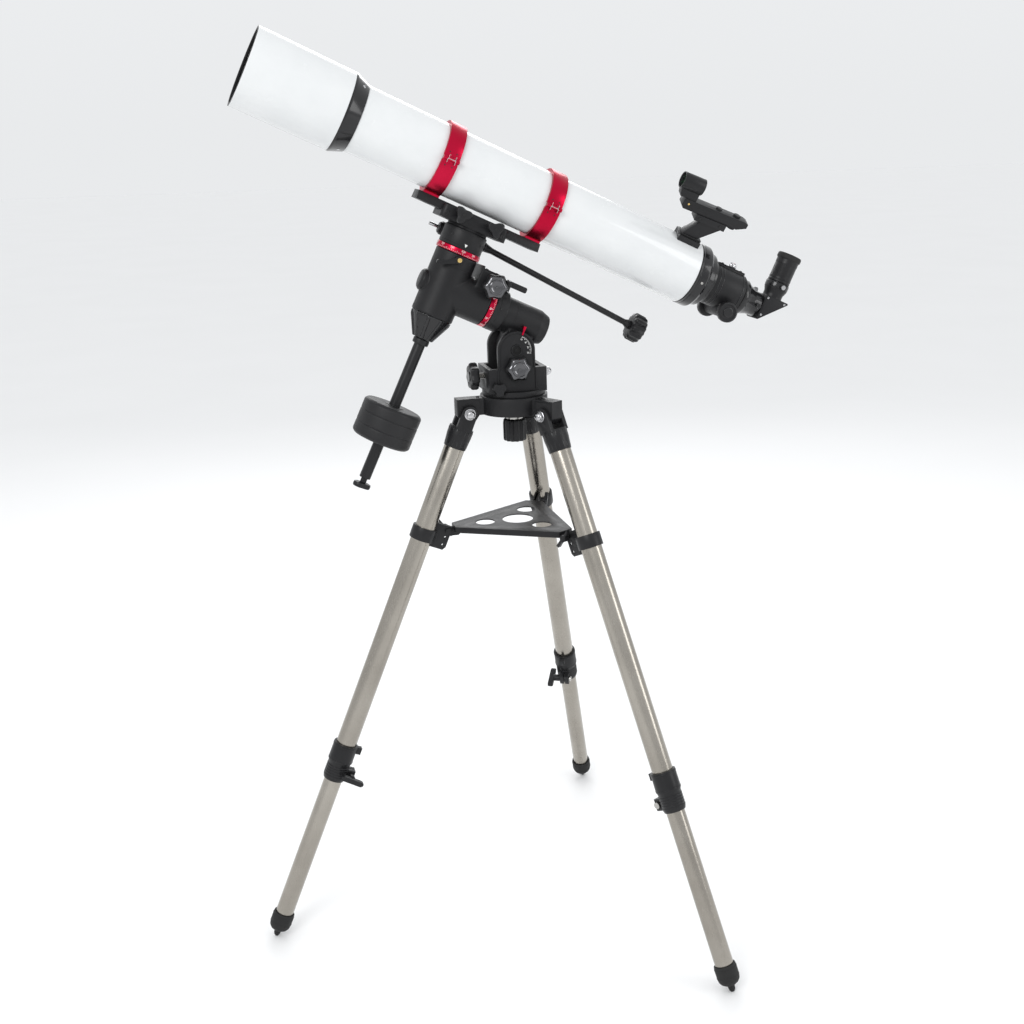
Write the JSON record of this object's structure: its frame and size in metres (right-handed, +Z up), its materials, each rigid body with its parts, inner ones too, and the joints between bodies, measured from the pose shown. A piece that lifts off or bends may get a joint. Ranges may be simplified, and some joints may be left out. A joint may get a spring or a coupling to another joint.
{
  "type": "refractor telescope",
  "caption": "Long refractor telescope with dew shield, rack focuser, diagonal and dot finder, on a German equatorial mount with counterweight and a tubular tripod with tray.",
  "frame": {"origin": "middle of the footprint box of the whole object, on the floor", "axes": "+Z up, the tube points to -X and up, the eyepiece end is at +X, the slow-motion shaft side is +Y"},
  "size_m": [0.9889, 0.822, 1.5111],
  "materials": {
    "white_enamel": "gloss white enamel on aluminium",
    "black_casting": "satin black paint on cast aluminium",
    "black_gloss": "gloss black",
    "gloss_metal": "gloss black anodised aluminium",
    "black_steel": "satin black paint on steel",
    "black_satin": "satin black moulded plastic",
    "red_anodised": "satin red anodised",
    "chrome": "bright chrome",
    "steel": "turned steel",
    "stainless": "brushed stainless tube",
    "brass": "cut brass",
    "weight_black": "semi-gloss black paint on iron",
    "coated_glass": "polished, green multi-coating",
    "mirror": "front-silvered",
    "baffle_black": "flat black"
  },
  "bodies": {
    "tripod": {"tripod_head": "black_casting", "hinge_bolts": "chrome"},
    "azimuth_base": {"azimuth_base": "black_casting"},
    "latitude": {"ra_housing": "black_casting"},
    "polar_axis": {"polar_casting": "black_casting", "counterweight_cone": "black_gloss", "ra_shaft": "steel", "counterweight_shaft": "black_steel"},
    "dec_axis": {"dec_head": "black_casting", "dec_shaft": "steel", "saddle": "black_casting", "saddle_knobs": "black_satin"},
    "dovetail": {"dovetail_bar": "black_casting", "ring_front_lower": "red_anodised", "ring_rear_lower": "red_anodised"},
    "tube": {"main_tube": "white_enamel", "dew_shield": "white_enamel", "objective_cell": "gloss_metal", "objective_lenses": "coated_glass", "tube_baffles": "baffle_black", "rear_cell": "gloss_metal", "focuser_body": "black_casting", "finder_bracket": "black_satin", "finder_body": "black_satin"},
    "drawtube": {"drawtube": "gloss_metal"},
    "focus_pinion": {"focus_pinion": "black_satin"},
    "drawtube_lock": {"drawtube_lock": "chrome"},
    "diagonal": {"diagonal_body": "black_satin", "diagonal_mirror": "mirror"},
    "eyepiece": {"eyepiece": "black_satin"},
    "ring_front": {"ring_front_upper": "red_anodised"},
    "ring_rear": {"ring_rear_upper": "red_anodised"},
    "slow_motion": {"dec_control_shaft": "black_satin"},
    "dec_worm": {"dec_worm": "steel"},
    "dec_wheel": {"dec_worm_wheel": "brass"},
    "dec_circle": {"dec_circle": "red_anodised"},
    "dec_clutch": {"dec_clutch": "black_satin"},
    "ra_worm": {"ra_worm": "black_satin"},
    "ra_wheel": {"ra_worm_wheel": "brass"},
    "ra_circle": {"ra_circle": "red_anodised"},
    "ra_clutch": {"ra_clutch": "black_satin"},
    "counterweight": {"counterweight": "weight_black"},
    "counterweight_screw": {"counterweight_screw": "black_satin"},
    "latitude_lock": {"latitude_lock": "black_satin"},
    "altitude_front": {"altitude_screw_front": "black_satin"},
    "altitude_rear": {"altitude_screw_rear": "chrome"},
    "head_bolt": {"head_bolt": "black_satin"},
    "tray": {"accessory_tray": "black_casting"},
    "leg_1": {"leg_tube_1": "stainless", "leg_fittings_1": "black_satin"},
    "lower_1": {"lower_leg_1": "stainless"},
    "knob_1": {"leg_knob_1": "black_satin"},
    "leg_2": {"leg_tube_2": "stainless", "leg_fittings_2": "black_satin"},
    "lower_2": {"lower_leg_2": "stainless"},
    "knob_2": {"leg_knob_2": "black_satin"},
    "leg_3": {"leg_tube_3": "stainless", "leg_fittings_3": "black_satin"},
    "lower_3": {"lower_leg_3": "stainless"},
    "knob_3": {"leg_knob_3": "black_satin"}
  },
  "joints": [
    {"name": "azimuth", "type": "hinge", "parent": "tripod", "child": "azimuth_base", "pos_m": [-0.0229, 0, 0.938], "axis": [0, 0, 1], "range_deg": [-10, 10]},
    {"name": "latitude", "type": "hinge", "parent": "azimuth_base", "child": "latitude", "pos_m": [-0.0256, 0, 1.01], "axis": [0, 1, 0], "range_deg": [-12, 7]},
    {"name": "right_ascension", "type": "hinge", "parent": "latitude", "child": "polar_axis", "pos_m": [-0.13406, 0, 1.11325], "axis": [0.9011, 0, -0.4337], "range_deg": [-90, 90]},
    {"name": "declination", "type": "hinge", "parent": "polar_axis", "child": "dec_axis", "pos_m": [-0.13406, 0, 1.11325], "axis": [0.4337, 0, 0.9011], "continuous": true},
    {"name": "counterweight_slide", "type": "slide", "parent": "polar_axis", "child": "counterweight", "axis": [0.4337, 0, 0.9011], "range_m": [-0.05, 0.1]},
    {"name": "drawtube_slide", "type": "slide", "parent": "tube", "child": "drawtube", "axis": [0.9011, 0, -0.4337], "range_m": [0, 0.07]},
    {"name": "slow_motion_dec", "type": "hinge", "parent": "dec_axis", "child": "slow_motion", "pos_m": [-0.06072, 0.031, 1.17339], "axis": [0.8686, 0, -0.4955], "continuous": true},
    {"name": "slow_motion_ra", "type": "hinge", "parent": "polar_axis", "child": "ra_worm", "pos_m": [-0.05894, 0, 1.11483], "axis": [0, 1, 0], "continuous": true},
    {"name": "tray_drop", "type": "slide", "parent": "tripod", "child": "tray", "axis": [0, 0, -1], "range_m": [0, 0.7]},
    {"name": "ring_front_open", "type": "hinge", "parent": "dovetail", "child": "ring_front", "pos_m": [-0.12455, -0.062, 1.31287], "axis": [0.9011, 0, -0.4337], "range_deg": [0, 100]},
    {"name": "ring_rear_open", "type": "hinge", "parent": "dovetail", "child": "ring_rear", "pos_m": [0.03675, -0.062, 1.23524], "axis": [0.9011, 0, -0.4337], "range_deg": [0, 100]},
    {"name": "dovetail_slide", "type": "slide", "parent": "dec_axis", "child": "dovetail", "axis": [0.9011, 0, -0.4337], "range_m": [-0.03, 0.03]},
    {"name": "tube_slide", "type": "slide", "parent": "dovetail", "child": "tube", "axis": [0.9011, 0, -0.4337], "range_m": [-0.03, 0.03]},
    {"name": "diagonal_turn", "type": "hinge", "parent": "drawtube", "child": "diagonal", "pos_m": [0.39628, 0, 1.06221], "axis": [0.9011, 0, -0.4337], "continuous": true},
    {"name": "eyepiece_draw", "type": "slide", "parent": "diagonal", "child": "eyepiece", "axis": [0.4337, 0, 0.9011], "range_m": [0, 0.03]},
    {"name": "leg_1_extend", "type": "slide", "parent": "leg_1", "child": "lower_1", "axis": [-0.3891, 0, -0.9212], "range_m": [-0.25, 0.1]},
    {"name": "leg_2_extend", "type": "slide", "parent": "leg_2", "child": "lower_2", "axis": [0.1946, -0.337, -0.9212], "range_m": [-0.25, 0.1]},
    {"name": "leg_3_extend", "type": "slide", "parent": "leg_3", "child": "lower_3", "axis": [0.1946, 0.337, -0.9212], "range_m": [-0.25, 0.1]},
    {"name": "dec_clutch_turn", "type": "hinge", "parent": "polar_axis", "child": "dec_clutch", "pos_m": [-0.11453, -0.04, 1.15912], "axis": [0, -1, 0], "range_deg": [0, 70]},
    {"name": "ra_clutch_turn", "type": "hinge", "parent": "latitude", "child": "ra_clutch", "pos_m": [-0.0293, 0, 1.10722], "axis": [0.4337, 0, 0.9011], "range_deg": [0, 70]},
    {"name": "dec_circle_turn", "type": "hinge", "parent": "polar_axis", "child": "dec_circle", "pos_m": [-0.10717, 0, 1.16911], "axis": [0.4337, 0, 0.9011], "continuous": true},
    {"name": "ra_circle_turn", "type": "hinge", "parent": "latitude", "child": "ra_circle", "pos_m": [-0.06377, 0, 1.07942], "axis": [0.9011, 0, -0.4337], "continuous": true},
    {"name": "latitude_lock_turn", "type": "hinge", "parent": "latitude", "child": "latitude_lock", "pos_m": [-0.0256, 0, 0.981], "axis": [0, 1, 0], "continuous": true},
    {"name": "counterweight_screw_turn", "type": "hinge", "parent": "counterweight", "child": "counterweight_screw", "pos_m": [-0.23705, 0.05, 0.89924], "axis": [0, 1, 0], "continuous": true},
    {"name": "drawtube_lock_turn", "type": "hinge", "parent": "tube", "child": "drawtube_lock", "pos_m": [0.36857, 0, 1.11994], "axis": [0.4337, 0, 0.9011], "continuous": true},
    {"name": "leg_1_knob", "type": "hinge", "parent": "leg_1", "child": "knob_1", "pos_m": [-0.33747, 0, 0.28745], "axis": [0, -1, 0], "continuous": true},
    {"name": "leg_2_knob", "type": "hinge", "parent": "leg_2", "child": "knob_2", "pos_m": [0.13439, -0.27243, 0.28745], "axis": [0.866, 0.5, 0], "continuous": true},
    {"name": "leg_3_knob", "type": "hinge", "parent": "leg_3", "child": "knob_3", "pos_m": [0.13439, 0.27243, 0.28745], "axis": [-0.866, 0.5, 0], "continuous": true},
    {"name": "head_bolt_turn", "type": "hinge", "parent": "tripod", "child": "head_bolt", "pos_m": [-0.0229, 0, 0.87], "axis": [0, 0, 1], "continuous": true},
    {"name": "focus", "type": "hinge", "parent": "tube", "child": "focus_pinion", "pos_m": [0.34077, 0, 1.05064], "axis": [0, 1, 0], "range_deg": [0, 668.46]},
    {"name": "dec_worm_turn", "type": "hinge", "parent": "dec_axis", "child": "dec_worm", "pos_m": [-0.09676, 0.031, 1.19074], "axis": [0.9011, 0, -0.4337], "continuous": true},
    {"name": "dec_wheel_turn", "type": "hinge", "parent": "dec_axis", "child": "dec_wheel", "pos_m": [-0.09676, 0, 1.19074], "axis": [0.4337, 0, 0.9011], "continuous": true},
    {"name": "ra_wheel_turn", "type": "hinge", "parent": "polar_axis", "child": "ra_wheel", "pos_m": [-0.07368, 0, 1.08419], "axis": [0.9011, 0, -0.4337], "continuous": true},
    {"name": "altitude_front_slide", "type": "slide", "parent": "azimuth_base", "child": "altitude_front", "axis": [1, 0, 0], "range_m": [-0.0116, 0.0116]},
    {"name": "altitude_rear_slide", "type": "slide", "parent": "azimuth_base", "child": "altitude_rear", "axis": [1, 0, 0], "range_m": [-0.0116, 0.0116]},
    {"name": "leg_1_fold", "type": "hinge", "parent": "tripod", "child": "leg_1", "pos_m": [-0.1029, 0, 0.907], "axis": [0, -1, 0], "range_deg": [0, 17.3]},
    {"name": "leg_2_fold", "type": "hinge", "parent": "tripod", "child": "leg_2", "pos_m": [0.0171, -0.06928, 0.907], "axis": [0.866, 0.5, 0], "range_deg": [0, 17.3]},
    {"name": "leg_3_fold", "type": "hinge", "parent": "tripod", "child": "leg_3", "pos_m": [0.0171, 0.06928, 0.907], "axis": [-0.866, 0.5, 0], "range_deg": [0, 17.3]}
  ],
  "couplings": [
    {"joint": "focus", "follows": "drawtube_slide", "rad_per_m": 166.67},
    {"joint": "dec_worm_turn", "follows": "slow_motion_dec", "ratio": 1},
    {"joint": "dec_wheel_turn", "follows": "slow_motion_dec", "ratio": 0.019231},
    {"joint": "ra_wheel_turn", "follows": "slow_motion_ra", "ratio": 0.017241},
    {"joint": "altitude_front_slide", "follows": "latitude", "m_per_rad": -0.044},
    {"joint": "altitude_rear_slide", "follows": "latitude", "m_per_rad": -0.044},
    {"joint": "leg_1_fold", "follows": "tray_drop", "rad_per_m": 0.43},
    {"joint": "leg_2_fold", "follows": "tray_drop", "rad_per_m": 0.43},
    {"joint": "leg_3_fold", "follows": "tray_drop", "rad_per_m": 0.43}
  ]
}
